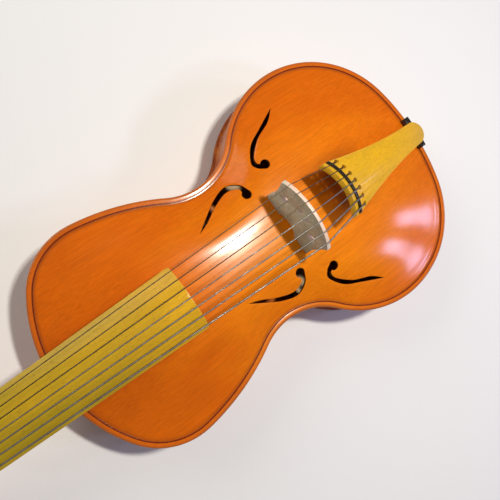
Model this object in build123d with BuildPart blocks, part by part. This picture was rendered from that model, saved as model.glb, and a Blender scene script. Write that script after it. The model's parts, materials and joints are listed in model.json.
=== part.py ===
from build123d import *
import math
import os

os.makedirs("parts", exist_ok=True)

# A cornerless seven-string bowed instrument, lying on its flat back. Sizes are in millimetres.
# +Z points out of the soundboard, +Y runs towards the head and +X is the treble side.

# Body
tail_y = -341.34  # y of the body's tail edge, which centres the whole length on the origin
edge_z = 60.0  # upper face of the soundboard at its edge
back_thickness = 3.5
board_thickness = 3.6
arch_height = 14.0
arch_margin = 4.0  # flat border outside the arch
arch_fullness = 1.9  # over 1, the arch stays high further out to the sides
rib_inset = 3.0
rib_thickness = 1.6
lining_width = 2.4
lining_height = 8.0
# Half outline, tail to neck: (radius, turn in degrees), a negative radius turns outwards
bout_arcs = [(210.0, 13.7), (93.0, 124.7), (-58.4, 77.1), (206.0, 22.9), (60.3, 62.4)]

# Strings: distances are along the body from its tail edge
bridge_at = 163.0
nut_at = 540.0
board_end_at = 274.0
string_radii = [0.35, 0.4, 0.45, 0.5, 0.6, 0.65, 0.75]  # treble to bass
string_count = len(string_radii)
string_clearance = 0.05
bridge_half_span = 27.4
nut_half_span = 19.3
tail_half_span = 21.2

# Bridge
bridge_top_z = 130.0
bridge_radius = 41.0
bridge_half_width = 32.6
bridge_foot_half = 30.2
bridge_notch = 0.3  # how deep each string sits in the bridge

# Fingerboard and neck
board_end_top_z = 103.5
board_end_radius = 45.0
board_end_half = 28.7
nut_top_z = 60.0
board_nut_radius = 90.0
board_nut_half = 23.3
board_side = 4.5
neck_depth = 15.0

# Head: a straight pegbox, tilted back from the neck
head_at = nut_at + 5.0
head_z = 56.5
head_tilt = 13.0
box_length = 122.0
box_wall = 5.2
box_end_half = 14.5
cavity_depth = 17.5
peg_depth = 10.0
first_peg = 22.0
peg_step = 14.0
peg_big_radius = 4.4
peg_small_radius = 3.6
running_clearance = 0.05

# Tailpiece
tail_front_at = 121.5
tail_front_z = 117.0
tail_tip_at = 1.5
tail_tip_z = 74.5
tail_roof_radius = 41.4
tail_front_half = 25.6
tail_tip_radius = 10.6
tail_thickness = 5.4

# Tail fittings
saddle_half = 16.0
saddle_depth = 7.0
saddle_top_z = 65.8
saddle_seat_z = 56.7
button_z = 34.0
gut_radius = 0.9
gut_half_span = 5.5

body_plane = Plane(origin=(0, tail_y, 0), x_dir=(1, 0, 0), z_dir=(0, 0, 1))
side_plane = Plane(origin=(0, tail_y, 0), x_dir=(0, 1, 0), z_dir=(1, 0, 0))


def cross_plane(along):
    """A plane across the instrument: local x is sideways and local y is height."""
    return Plane(origin=(0, tail_y + along, 0), x_dir=(1, 0, 0), z_dir=(0, -1, 0))


def finish(builder, name):
    builder.part.label = name
    export_step(builder.part, f"parts/{name}.step")


# ---- the outline and the arch, as rules ----


def outline_arcs(inset):
    """Arcs of the right half, each (centre, signed radius, start heading, end heading)."""
    x, y, heading = 0.0, inset, 0.0
    arcs = []
    for full_radius, turn in bout_arcs:
        radius = full_radius - inset
        centre = (x - radius * math.sin(heading), y + radius * math.cos(heading))
        end = heading + math.copysign(math.radians(turn), radius)
        arcs.append((centre, radius, heading, end))
        x = centre[0] + radius * math.sin(end)
        y = centre[1] - radius * math.cos(end)
        heading = end
    radius = x / math.sin(heading)  # the neck end closes on the centre line
    centre = (x - radius * math.sin(heading), y + radius * math.cos(heading))
    arcs.append((centre, radius, heading, math.pi))
    return arcs


def arc_point(arc, share):
    centre, radius, start, end = arc
    heading = start + (end - start) * share
    return (centre[0] + radius * math.sin(heading), centre[1] - radius * math.cos(heading))


def body_outline(inset):
    """The closed outline as a flat sketch, inset all round."""
    with BuildSketch() as outline:
        with BuildLine():
            for side in (1, -1):
                for arc in outline_arcs(inset):
                    points = [arc_point(arc, share) for share in (0, 0.5, 1)]
                    ThreePointArc(*[(side * x, y) for x, y in points])
        make_face()
    return outline.sketch


body_arcs = outline_arcs(0)
body_length = arc_point(body_arcs[-1], 1)[1]


def half_width(along):
    """Half the body's width at a distance from the tail edge."""
    for centre, radius, start, end in body_arcs:
        cosine = (centre[1] - along) / radius
        if abs(cosine) > 1:
            continue
        heading = math.acos(cosine)
        if min(start, end) - 1e-6 <= heading <= max(start, end) + 1e-6:
            return centre[0] + radius * math.sin(heading)
    return 0.0


def bell(share):
    return 0.5 * (1 + math.cos(math.pi * min(1.0, share)))


def arch(x, along):
    """Height of the soundboard's arch above its edge."""
    reach = half_width(along) - arch_margin
    if reach <= 1:
        return 0.0
    across = bell((abs(x) / reach) ** arch_fullness) if abs(x) < reach else 0.0
    lengthwise = abs(2 * along / body_length - 1) * body_length / (body_length - 2 * arch_margin)
    return arch_height * across * bell(lengthwise**2.2)


def arch_surface(height):
    """The arched surface over the whole body, with its edge at a height."""
    columns = 48
    rows = 96
    reach = 126.0
    grid = [
        [
            Vector(
                reach * (2 * i / columns - 1),
                tail_y - 6 + (body_length + 12) * j / rows,
                height + arch(reach * (2 * i / columns - 1), -6 + (body_length + 12) * j / rows),
            )
            for j in range(rows + 1)
        ]
        for i in range(columns + 1)
    ]
    return Face.make_surface_from_array_of_points(grid, tol=0.02)


board_top = arch_surface(edge_z)
board_under = arch_surface(edge_z - board_thickness)


# ---- sound holes ----


# Each sound hole from its eye: outer side, inner side, then the eye's centre and radius
upper_outer = [(42.2, 176.1), (51.5, 180.3), (56.9, 191.0), (52.5, 206.0), (43.3, 221.7), (35.3, 234.2)]
upper_inner = [(35.3, 234.2), (39.7, 222.5), (47.5, 207.5), (52.0, 193.0), (48.8, 183.3), (44.6, 182.2)]
upper_eye = (41.0, 180.2)
lower_outer = [(50.3, 153.4), (54.0, 158.3), (61.0, 160.2), (74.2, 150.2), (82.8, 134.0), (93.0, 113.0)]
lower_inner = [(93.0, 113.0), (83.3, 124.5), (76.0, 140.8), (65.0, 153.8), (58.5, 156.2), (56.0, 154.2)]
lower_eye = (53.7, 150.8)
eye_radius = 4.3


def sound_hole(side, outer, inner, eye):
    """A sound hole: a blade that curls in to a round eye."""
    with BuildSketch() as flame:
        with BuildLine():
            Spline(*[(side * x, along) for x, along in outer])
            Spline(*[(side * x, along) for x, along in inner])
            Line((side * inner[-1][0], inner[-1][1]), (side * outer[0][0], outer[0][1]))
        make_face()
        with Locations((side * eye[0], eye[1])):
            Circle(eye_radius)
    return flame.sketch


# ---- the sound box ----

purfling_inset = 4.2
purfling_width = 1.4
purfling_depth = 1.5

with BuildPart() as soundboard:
    with BuildSketch(body_plane.offset(edge_z - board_thickness - 5)):
        add(body_outline(0))
    extrude(amount=board_thickness + arch_height + 9)
    split(bisect_by=board_top, keep=Keep.BOTTOM)
    split(bisect_by=board_under, keep=Keep.TOP)
    with BuildSketch(body_plane.offset(edge_z - board_thickness - 1)):
        for side in (1, -1):
            add(sound_hole(side, upper_outer, upper_inner, upper_eye))
            add(sound_hole(side, lower_outer, lower_inner, lower_eye))
        with Locations((0, saddle_depth / 2)):
            Rectangle(2 * saddle_half, saddle_depth)
    extrude(amount=arch_height + board_thickness + 4, mode=Mode.SUBTRACT)
    with BuildSketch(body_plane.offset(edge_z - purfling_depth)):
        add(body_outline(purfling_inset))
        add(body_outline(purfling_inset + purfling_width), mode=Mode.SUBTRACT)
    extrude(amount=arch_height, mode=Mode.SUBTRACT)
finish(soundboard, "soundboard")

with BuildPart() as purfling:
    with BuildSketch(body_plane.offset(edge_z - purfling_depth)):
        add(body_outline(purfling_inset))
        add(body_outline(purfling_inset + purfling_width), mode=Mode.SUBTRACT)
        with Locations((0, saddle_depth / 2)):
            Rectangle(2 * saddle_half, saddle_depth, mode=Mode.SUBTRACT)
    extrude(amount=purfling_depth)
finish(purfling, "purfling")

with BuildPart() as back_plate:
    with BuildSketch(body_plane):
        add(body_outline(0))
    extrude(amount=back_thickness)
    fillet(back_plate.faces().sort_by(Axis.Z)[0].edges(), radius=1.2)
finish(back_plate, "back_plate")

rib_top_z = edge_z - board_thickness
block_half = {"neck": 36.0, "end": 30.0}
block_length = {"neck": 26.0, "end": 20.0}
button_hole_radius = 4.0


def ring(inset, width, bottom, height):
    """An upright strip that follows the outline."""
    with BuildPart() as strip:
        with BuildSketch(body_plane.offset(bottom)):
            add(body_outline(inset))
            add(body_outline(inset + width), mode=Mode.SUBTRACT)
        extrude(amount=height)
    return strip.part


for side_name, kept_side in (("treble", Keep.TOP), ("bass", Keep.BOTTOM)):
    with BuildPart() as rib:
        add(ring(rib_inset, rib_thickness, back_thickness, rib_top_z - back_thickness))
        split(bisect_by=Plane.YZ, keep=kept_side)
        with BuildSketch(cross_plane(0)):
            with Locations((0, button_z)):
                Circle(button_hole_radius)
        extrude(amount=-2 * rib_inset - rib_thickness, mode=Mode.SUBTRACT)
    finish(rib, f"rib_{side_name}")

    for level, bottom in (("back", back_thickness), ("top", rib_top_z - lining_height)):
        with BuildPart() as lining:
            add(ring(rib_inset + rib_thickness, lining_width, bottom, lining_height))
            split(bisect_by=Plane.YZ, keep=kept_side)
            with BuildSketch(body_plane.offset(bottom)):
                with Locations((0, 0)):
                    Rectangle(2 * block_half["end"], 4 * block_length["end"])
                with Locations((0, body_length)):
                    Rectangle(2 * block_half["neck"], 4 * block_length["neck"])
            extrude(amount=lining_height, mode=Mode.SUBTRACT)
        finish(lining, f"lining_{level}_{side_name}")

with BuildPart() as neck_block:
    with BuildSketch(body_plane.offset(back_thickness)):
        add(body_outline(rib_inset + rib_thickness))
        with Locations((0, body_length)):
            Rectangle(2 * block_half["neck"], 2 * block_length["neck"], mode=Mode.INTERSECT)
    extrude(amount=edge_z)
    split(bisect_by=board_under, keep=Keep.BOTTOM)
finish(neck_block, "neck_block")

with BuildPart() as end_block:
    with BuildSketch(body_plane.offset(back_thickness)):
        add(body_outline(rib_inset + rib_thickness))
        Rectangle(2 * block_half["end"], 2 * block_length["end"], mode=Mode.INTERSECT)
    extrude(amount=edge_z)
    split(bisect_by=board_under, keep=Keep.BOTTOM)
    with BuildSketch(cross_plane(0)):
        with Locations((0, button_z)):
            Circle(button_hole_radius)
    extrude(amount=-2 * block_length["end"], mode=Mode.SUBTRACT)
finish(end_block, "end_block")

# Cross bars on the flat back: (name, place, width, height). The sound post stands on the middle one.
brace_inset = rib_inset + rib_thickness + lining_width + 0.5
post_plate_height = 3.0
braces = [
    ("lower", 75.0, 10.0, 8.0),
    ("middle", 156.0, 44.0, post_plate_height),
    ("upper", 318.0, 10.0, 8.0),
]
for brace_name, along, width, height in braces:
    with BuildPart() as brace:
        with BuildSketch(body_plane.offset(back_thickness)):
            add(body_outline(brace_inset))
            with Locations((0, along)):
                Rectangle(250, width, mode=Mode.INTERSECT)
        extrude(amount=height)
    finish(brace, f"back_brace_{brace_name}")

post_x = 22.0
post_at = 154.0
with BuildPart() as sound_post:
    with BuildSketch(body_plane.offset(back_thickness + post_plate_height)):
        with Locations((post_x, post_at)):
            Circle(3)
    extrude(amount=edge_z + arch_height)
    split(bisect_by=board_under, keep=Keep.BOTTOM)
finish(sound_post, "sound_post")

bar_start = 72.0
bar_end = 326.0
bar_middle = (bar_start + bar_end) / 2
with BuildPart() as bass_bar:
    with BuildSketch(side_plane.offset(-post_x)):
        with BuildLine():
            ThreePointArc((bar_start, 62.5), (bar_middle, 59), (bar_end, 62.5))
            Polyline((bar_end, 62.5), (bar_end, 80), (bar_start, 80), (bar_start, 62.5))
        make_face()
    extrude(amount=2.75, both=True)
    split(bisect_by=board_under, keep=Keep.BOTTOM)
finish(bass_bar, "bass_bar")

# ---- neck and fingerboard ----

board_run = nut_at - board_end_at
glue_end_z = board_end_top_z - board_end_radius
glue_end_z += math.sqrt(board_end_radius**2 - board_end_half**2) - board_side
glue_nut_z = nut_top_z - board_nut_radius
glue_nut_z += math.sqrt(board_nut_radius**2 - board_nut_half**2) - board_side
glue_slope = (glue_nut_z - glue_end_z) / board_run


def glue_z(along):
    """Height of the joint between the neck and the fingerboard."""
    return glue_end_z + glue_slope * (along - board_end_at)


def board_half(along):
    return board_end_half + (board_nut_half - board_end_half) * (along - board_end_at) / board_run


glue_plane = Plane(
    origin=(0, tail_y + nut_at, glue_nut_z),
    x_dir=(1, 0, 0),
    z_dir=(0, -glue_slope, 1),
)


def camber(half, top_z, radius, bottom_z):
    """A fingerboard section: flat below, cambered above."""
    side_z = top_z - radius + math.sqrt(radius**2 - half**2)
    with BuildSketch() as section:
        with BuildLine():
            Polyline((-half, side_z), (-half, bottom_z), (half, bottom_z), (half, side_z))
            ThreePointArc((half, side_z), (0, top_z), (-half, side_z))
        make_face()
    return section.sketch


with BuildPart() as fingerboard:
    with BuildSketch(cross_plane(board_end_at)):
        add(camber(board_end_half, board_end_top_z, board_end_radius, glue_end_z))
    with BuildSketch(cross_plane(nut_at)):
        add(camber(board_nut_half, nut_top_z, board_nut_radius, glue_nut_z))
    loft(ruled=True)
    end_corners = fingerboard.edges().filter_by(Axis.Z).group_by(Axis.Y)[0]
    fillet(end_corners, radius=2.5)
finish(fingerboard, "fingerboard")

# Neck shaft sections: (along, depth below the fingerboard)
shaft_sections = [(body_length - 12, 20.0), (430.0, 18.2), (head_at, neck_depth)]
# Heel sections: (height, half width, furthest reach along the neck)
heel_sections = [
    (1.5, 12.0, 404.0),
    (16.0, 12.6, 404.6),
    (30.0, 14.2, 407.0),
    (40.0, 16.5, 411.5),
    (47.0, 19.0, 418.0),
    (54.0, 22.0, 429.0),
    (60.0, 24.0, 444.0),
]
foot_overlap = 3.0  # how far the neck's foot stands over the soundboard's border


with BuildPart() as neck:
    for along, depth in shaft_sections:
        half = board_half(along)
        top = glue_z(along)
        with BuildSketch(cross_plane(along)):
            with BuildLine():
                Polyline((-half, top), (-half, top + 5), (half, top + 5), (half, top))
                ThreePointArc((half, top), (0, top - depth), (-half, top))
            make_face()
    loft(ruled=True)
    for height, half, reach in heel_sections:
        with BuildSketch(body_plane.offset(height)):
            with BuildLine():
                Polyline((-half, reach - half), (-half, 380), (half, 380), (half, reach - half))
                ThreePointArc((half, reach - half), (0, reach), (-half, reach - half))
            make_face()
    loft()
    split(bisect_by=glue_plane, keep=Keep.BOTTOM)
    with BuildSketch(body_plane.offset(-1)):
        add(body_outline(0))
    extrude(amount=edge_z + 1, mode=Mode.SUBTRACT)
    with BuildSketch(body_plane.offset(edge_z)):
        with Locations((0, body_length - foot_overlap - 50)):
            Rectangle(200, 100)
    extrude(amount=30, mode=Mode.SUBTRACT)
finish(neck, "neck")

# ---- strings: heights at their rests ----


def span(half, number):
    """Sideways place of a string, counted 0 to 6 from the treble side."""
    return half * (1 - 2 * number / (string_count - 1))


def sagged(top, radius, x):
    return top - radius + math.sqrt(radius**2 - x**2)


tail_slope = math.atan2(tail_front_z - tail_tip_z, tail_front_at - tail_tip_at)
tail_plane = Plane(
    origin=(0, tail_y + tail_front_at, tail_front_z),
    x_dir=(1, 0, 0),
    z_dir=(0, -math.sin(tail_slope), math.cos(tail_slope)),
)
# In tail_plane local +y runs from the tip to the front, so places on the tailpiece have y <= 0
tail_length = math.hypot(tail_front_at - tail_tip_at, tail_front_z - tail_tip_z)
rest_place = 4.6  # ebony rest, behind the front edge
rest_width = 2.4
rest_rise = 1.7
keyhole_place = 13.0
keyhole_radius = 2.0
slot_half = 0.85
knot_drop = 4.4
knot_radius = 2.1

head_slope = math.radians(head_tilt)
head_plane = Plane(
    origin=(0, tail_y + head_at, head_z),
    x_dir=(1, 0, 0),
    z_dir=(0, math.sin(head_slope), math.cos(head_slope)),
)
nut_rise = 1.1  # nut above the fingerboard


def peg_place(order):
    """Distance of a peg from the nut along the pegbox, counted from the nut."""
    return first_peg + peg_step * order


# Pegs in order from the nut: (string number from the treble side, side of its head, winding place)
peg_table = [
    (0, 1, 13.2),
    (6, -1, -11.0),
    (1, 1, 9.6),
    (5, -1, -8.4),
    (2, 1, 5.2),
    (4, -1, -4.4),
    (3, 1, 0.4),
]
peg_of_string = {number: order for order, (number, _, _) in enumerate(peg_table)}
winding_turns = 5
winding_gap = 0.3


def box_half(along_head):
    """Half the pegbox's outer width."""
    return board_nut_half + (box_end_half - board_nut_half) * along_head / box_length


def peg_radius(order, x):
    """Radius of a tapered peg at a sideways place."""
    side = peg_table[order][1]
    half = box_half(peg_place(order))
    share = (side * x + half) / (2 * half)
    return peg_small_radius + (peg_big_radius - peg_small_radius) * share


def peg_centre(order):
    return head_plane.from_local_coords((0, peg_place(order), -peg_depth))


def peg_axis(order):
    """A peg's axis, which points from its tip to its head."""
    return Axis(peg_centre(order), (peg_table[order][1], 0, 0))


def peg_side(order):
    """Plane through a peg's axis: local x runs from its tip to its head."""
    side = peg_table[order][1]
    return Plane(origin=peg_centre(order), x_dir=(side, 0, 0), z_dir=head_plane.y_dir)


def peg_taper(order, below, above, extra):
    """A tapered bar on a peg's axis, between two places beyond the pegbox's outer faces."""
    side = peg_table[order][1]
    half = box_half(peg_place(order))
    tip = -half - below
    top = half + above
    with BuildPart() as bar:
        with BuildSketch(peg_side(order)):
            with BuildLine():
                Polyline(
                    (tip, 0),
                    (top, 0),
                    (top, peg_radius(order, side * top) + extra),
                    (tip, peg_radius(order, side * tip) + extra),
                    (tip, 0),
                )
            make_face()
        revolve(axis=peg_axis(order))
    return bar.part


def winding_radius(order):
    number, _, place = peg_table[order]
    return peg_radius(order, place) + 2 * string_radii[number]


def string_route(number):
    """Corner points of a string, from its knot under the tailpiece to its peg."""
    thick = string_radii[number]
    lift = thick + string_clearance
    tail_x = span(tail_half_span, number)
    roof = sagged(0, tail_roof_radius, tail_x)
    knot = tail_plane.from_local_coords((tail_x, -keyhole_place - 0.3, roof - tail_thickness - knot_drop))
    hole = tail_plane.from_local_coords((tail_x, -keyhole_place + 0.9, roof + lift))
    rest = tail_plane.from_local_coords((tail_x, -rest_place, roof + rest_rise + lift))
    bridge_x = span(bridge_half_span, number)
    bridge_z = sagged(bridge_top_z, bridge_radius, bridge_x) + lift - 2 * bridge_notch
    nut_x = span(nut_half_span, number)
    nut_z = sagged(nut_top_z + nut_rise, board_nut_radius, nut_x) + lift - thick
    order = peg_of_string[number]
    peg_x = peg_table[order][2]
    wrap = winding_radius(order) + 0.2
    arrive = head_plane.from_local_coords((peg_x, peg_place(order), wrap - peg_depth))
    return [
        knot,
        hole,
        rest,
        Vector(bridge_x, tail_y + bridge_at, bridge_z),
        Vector(nut_x, tail_y + nut_at + 0.5, nut_z),
        Vector(nut_x, tail_y + head_at - 0.6, nut_z - 1.0),
        arrive,
    ]


def string_tube(number, extra):
    """A string, or the groove it lies in, as round runs joined by balls."""
    route = string_route(number)
    radius = string_radii[number] + extra
    with BuildPart() as tube:
        for start, end in zip(route, route[1:]):
            run = end - start
            with BuildSketch(Plane(origin=start, z_dir=run)):
                Circle(radius)
            extrude(amount=run.length)
        for corner in route[1:-1]:
            with Locations(corner):
                Sphere(radius)
    return tube.part


for number in range(string_count):
    order = peg_of_string[number]
    with BuildPart() as string:
        add(string_tube(number, 0))
        with Locations(string_route(number)[0]):
            Sphere(knot_radius)
        # the string ends a little clear of its winding, which turns with the peg
        with BuildSketch(Plane.YZ.offset(peg_table[order][2] - 8)):
            with Locations((peg_centre(order).Y, peg_centre(order).Z)):
                Circle(winding_radius(order) + winding_gap)
        extrude(amount=16, mode=Mode.SUBTRACT)
    finish(string, f"string_{number + 1}")

# The strings a little thicker, to cut the grooves that they lie in
grooves = [string_tube(number, string_clearance) for number in range(string_count)]

# ---- bridge ----

bridge_foot_z = edge_z + 6.0  # below the arch, which trims the feet to fit
bridge_ankle_z = 76.0
bridge_arch_half = 11.0
bridge_arch_z = 75.0
bridge_arch_top_z = 82.0
bridge_back = 1.4
bridge_front_foot = 4.2
bridge_front_top = 0.9
# Openings in the bridge: (place to each side, height), and the notch in each flank also has a radius
bridge_heart = (18.8, 100.5)
bridge_drop = (4.4, 113.3)
bridge_waist = (29.6, 90.0, 2.6)

with BuildPart() as bridge:
    end_z = sagged(bridge_top_z, bridge_radius, bridge_half_width)
    side_points = [
        (bridge_half_width, end_z),
        (30.4, end_z - 9),
        (29.0, end_z - 22),
        (bridge_foot_half, bridge_ankle_z),
    ]
    with BuildSketch(cross_plane(bridge_at - bridge_back)):
        with BuildLine():
            ThreePointArc((-bridge_half_width, end_z), (0, bridge_top_z), (bridge_half_width, end_z))
            Spline(*side_points)
            Line((bridge_foot_half, bridge_ankle_z), (bridge_foot_half, bridge_foot_z))
            Line((bridge_foot_half, bridge_foot_z), (-bridge_foot_half, bridge_foot_z))
            Line((-bridge_foot_half, bridge_foot_z), (-bridge_foot_half, bridge_ankle_z))
            Spline(*[(-x, z) for x, z in reversed(side_points)])
        make_face()
        gap_left = (-bridge_arch_half, bridge_arch_z)
        gap_right = (bridge_arch_half, bridge_arch_z)
        gap_low = (bridge_arch_half, bridge_foot_z)
        with BuildLine(mode=Mode.PRIVATE) as feet_gap:
            Polyline((-bridge_arch_half, bridge_foot_z), gap_left)
            ThreePointArc(gap_left, (0, bridge_arch_top_z), gap_right)
            Polyline(gap_right, gap_low, (-bridge_arch_half, bridge_foot_z))
        add(make_face(feet_gap.edges(), mode=Mode.PRIVATE), mode=Mode.SUBTRACT)
        for side in (1, -1):
            with Locations((side * bridge_heart[0], bridge_heart[1])):
                Ellipse(4.6, 3.2, mode=Mode.SUBTRACT)
                with Locations((0, 3.0)):
                    Circle(2.2, mode=Mode.SUBTRACT)
            with Locations((side * bridge_drop[0], bridge_drop[1])):
                Ellipse(2.5, 2.4, mode=Mode.SUBTRACT)
            with Locations((side * bridge_waist[0], bridge_waist[1])):
                Circle(bridge_waist[2], mode=Mode.SUBTRACT)
    extrude(amount=-bridge_back - bridge_front_foot)
    # the front face leans back to a thin top
    with BuildSketch(side_plane.offset(-60)):
        with BuildLine():
            Polyline(
                (bridge_at + bridge_front_foot, edge_z + 20),
                (bridge_at + bridge_front_foot + 5, edge_z + 20),
                (bridge_at + bridge_front_foot + 5, bridge_top_z + 5),
                (bridge_at + bridge_front_top, bridge_top_z + 5),
                (bridge_at + bridge_front_foot, edge_z + 20),
            )
        make_face()
    extrude(amount=120, mode=Mode.SUBTRACT)
    split(bisect_by=board_top, keep=Keep.TOP)
    add(grooves, mode=Mode.SUBTRACT)
finish(bridge, "bridge")

with BuildPart() as nut:
    with BuildSketch(cross_plane(nut_at)):
        add(camber(board_nut_half, nut_top_z + nut_rise, board_nut_radius, glue_nut_z - 2))
    extrude(amount=nut_at - head_at)
    split(bisect_by=glue_plane, keep=Keep.TOP)
    add(grooves, mode=Mode.SUBTRACT)
finish(nut, "nut")

# ---- tailpiece ----


def tail_shape():
    """The tailpiece from above, in tail_plane."""
    centre = -tail_length + tail_tip_radius
    shoulder = tail_front_half - 0.3
    with BuildSketch() as shape:
        with BuildLine():
            Line((-tail_front_half, 0), (tail_front_half, 0))
            for side in (1, -1):
                Line((side * tail_front_half, 0), (side * shoulder, -6))
                Spline((side * shoulder, -6), (side * 15.6, -55), (side * tail_tip_radius, centre))
            ThreePointArc((tail_tip_radius, centre), (0, -tail_length), (-tail_tip_radius, centre))
        make_face()
    return shape.sketch


tail_front_plane = Plane(
    origin=tail_plane.from_local_coords((0, 0, -tail_roof_radius)),
    x_dir=(1, 0, 0),
    z_dir=-tail_plane.y_dir,
)


def roof_bar(radius, start, length):
    """A round bar under the tailpiece's arched roof."""
    with BuildPart() as bar:
        with BuildSketch(tail_front_plane.offset(start)):
            Circle(radius)
        extrude(amount=length)
    return bar.part


gut_drop = tail_thickness + 1.2
gut_start = tail_plane.from_local_coords((0, -tail_length + 20, -gut_drop))


def gut_route():
    """The tail gut from one anchor round the button to the other, as corner points."""
    front = tail_y - 3.4
    half = gut_half_span
    low = button_z - half
    one_side = [
        Vector(half, gut_start.Y, gut_start.Z),
        Vector(half, tail_y + 4.5, saddle_top_z + gut_radius + string_clearance),
        Vector(half, tail_y - 0.4, saddle_top_z + gut_radius + string_clearance - 0.9),
        Vector(half, front, saddle_top_z - 7),
        Vector(half, front, low),
    ]
    return one_side + [Vector(-point.X, point.Y, point.Z) for point in reversed(one_side)]


def gut_tube(extra):
    """The tail gut, or the hole it lies in."""
    with BuildPart() as tube:
        with BuildLine() as route:
            FilletPolyline(*gut_route(), radius=[2.0, 2.0, 2.0, 5.2, 5.2, 2.0, 2.0, 2.0])
        with BuildSketch(Plane(origin=route.line @ 0, z_dir=route.line % 0)):
            Circle(gut_radius + extra)
        sweep(path=route.line)
    return tube.part


with BuildPart() as tail_gut:
    add(gut_tube(0))
finish(tail_gut, "tail_gut")

with BuildPart() as tailpiece:
    with BuildSketch(tail_plane.offset(-tail_roof_radius)):
        add(tail_shape())
    extrude(amount=tail_roof_radius + 4)
    add(roof_bar(tail_roof_radius, 0, tail_length + 1), mode=Mode.INTERSECT)
    add(roof_bar(tail_roof_radius - tail_thickness, -1, tail_length - 30), mode=Mode.SUBTRACT)
    with BuildSketch(tail_plane.offset(-tail_roof_radius)):
        with Locations((0, -tail_length)):
            Rectangle(60, 80)
    extrude(amount=tail_roof_radius - tail_thickness - 1.8, mode=Mode.SUBTRACT)
    # keyholes and their slots
    with BuildSketch(tail_plane.offset(-20)):
        for number in range(string_count):
            place = span(tail_half_span, number)
            with Locations((place, -keyhole_place)):
                Circle(keyhole_radius)
            with Locations((place, -(keyhole_place + rest_place + rest_width / 2) / 2)):
                Rectangle(2 * slot_half, keyhole_place - rest_place - rest_width / 2)
    extrude(amount=30, mode=Mode.SUBTRACT)
    # groove for the ebony rest
    with BuildSketch(tail_front_plane.offset(rest_place - rest_width / 2)):
        Circle(tail_roof_radius + 1)
        Circle(tail_roof_radius - 1.5, mode=Mode.SUBTRACT)
    extrude(amount=rest_width, mode=Mode.SUBTRACT)
    add(gut_tube(0.1), mode=Mode.SUBTRACT)
finish(tailpiece, "tailpiece")

with BuildPart() as tailpiece_saddle:
    with BuildSketch(tail_front_plane.offset(rest_place - rest_width / 2)):
        Circle(tail_roof_radius + rest_rise)
        Circle(tail_roof_radius - 1.5, mode=Mode.SUBTRACT)
        with Locations((0, tail_roof_radius)):
            Rectangle(2 * tail_front_half - 0.6, 2 * tail_roof_radius, mode=Mode.INTERSECT)
    extrude(amount=rest_width)
    add(grooves, mode=Mode.SUBTRACT)
finish(tailpiece_saddle, "tailpiece_saddle")

# ---- tail fittings ----

with BuildPart() as bottom_saddle:
    with BuildSketch(body_plane.offset(saddle_seat_z)):
        add(body_outline(0))
        with Locations((0, saddle_depth / 2)):
            Rectangle(2 * saddle_half, saddle_depth, mode=Mode.INTERSECT)
    extrude(amount=saddle_top_z - saddle_seat_z)
    fillet(bottom_saddle.faces().sort_by(Axis.Z)[-1].edges(), radius=1.6)
finish(bottom_saddle, "bottom_saddle")

with BuildPart() as end_button:
    with BuildSketch(side_plane):
        with BuildLine():
            Polyline((16, button_z), (16, button_z + 3.4), (-5.6, button_z + 3.9), (-5.6, button_z + 7.0))
            ThreePointArc((-5.6, button_z + 7.0), (-9.5, button_z + 8.2), (-13.4, button_z + 4.6))
            Polyline((-13.4, button_z + 4.6), (-14.6, button_z + 2.2), (-14.6, button_z), (16, button_z))
        make_face()
    revolve(axis=Axis((0, tail_y, button_z), (0, 1, 0)))
finish(end_button, "end_button")

# ---- head ----

head_side = Plane(origin=head_plane.origin, x_dir=head_plane.y_dir, z_dir=(1, 0, 0))
scroll_place = 140.0
scroll_drop = 5.0
scroll_radius = 17.0
neck_back = head_plane.to_local_coords(Vector(0, tail_y + head_at, glue_z(head_at) - neck_depth))


with BuildPart() as pegbox:
    with BuildSketch(head_side):
        with BuildLine():
            Line((0, 0), (box_length, 0))
            Line((box_length, 0), (scroll_place - 6, scroll_radius - scroll_drop - 2))
            Line((scroll_place - 6, scroll_radius - scroll_drop - 2), (scroll_place, -scroll_drop))
            Line((scroll_place, -scroll_drop), (box_length + 6, -scroll_radius - scroll_drop + 4))
            Spline((box_length + 6, -scroll_radius - scroll_drop + 4), (60, -24), (0, neck_back.Z))
            Line((0, neck_back.Z), (0, 0))
        make_face()
        with Locations((scroll_place, -scroll_drop)):
            Circle(scroll_radius)
    extrude(amount=60, both=True)
    with BuildSketch(head_plane.offset(-60)):
        with BuildLine():
            Polyline(
                (-board_nut_half, -20),
                (-board_nut_half, 0),
                (-box_end_half, box_length),
                (-11, scroll_place + 30),
                (11, scroll_place + 30),
                (box_end_half, box_length),
                (board_nut_half, 0),
                (board_nut_half, -20),
                (-board_nut_half, -20),
            )
        make_face()
    extrude(amount=120, mode=Mode.INTERSECT)
    for boss_radius, boss_half in ((11.5, 14.0), (6.0, 17.0)):
        with BuildSketch(head_side):
            with Locations((scroll_place, -scroll_drop)):
                Circle(boss_radius)
        extrude(amount=boss_half, both=True)
    with BuildSketch(head_plane.offset(-cavity_depth)):
        inner_start = 6.0
        inner_end = box_length - 6
        with BuildLine():
            Polyline(
                (-box_half(inner_start) + box_wall, inner_start),
                (box_half(inner_start) - box_wall, inner_start),
                (box_half(inner_end) - box_wall, inner_end),
                (-box_half(inner_end) + box_wall, inner_end),
                (-box_half(inner_start) + box_wall, inner_start),
            )
        make_face()
    extrude(amount=cavity_depth + 20, mode=Mode.SUBTRACT)
    with BuildSketch(cross_plane(head_at)):
        Rectangle(100, 300)
    extrude(amount=20, mode=Mode.SUBTRACT)
    for order in range(string_count):
        add(peg_taper(order, 6, 6, running_clearance), mode=Mode.SUBTRACT)
    add(grooves, mode=Mode.SUBTRACT)
finish(pegbox, "pegbox")

with BuildPart() as thumb:
    with BuildSketch():
        Ellipse(11.5, 9)
    extrude(amount=3.6, both=True)
    fillet(thumb.edges(), radius=2.4)

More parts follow.
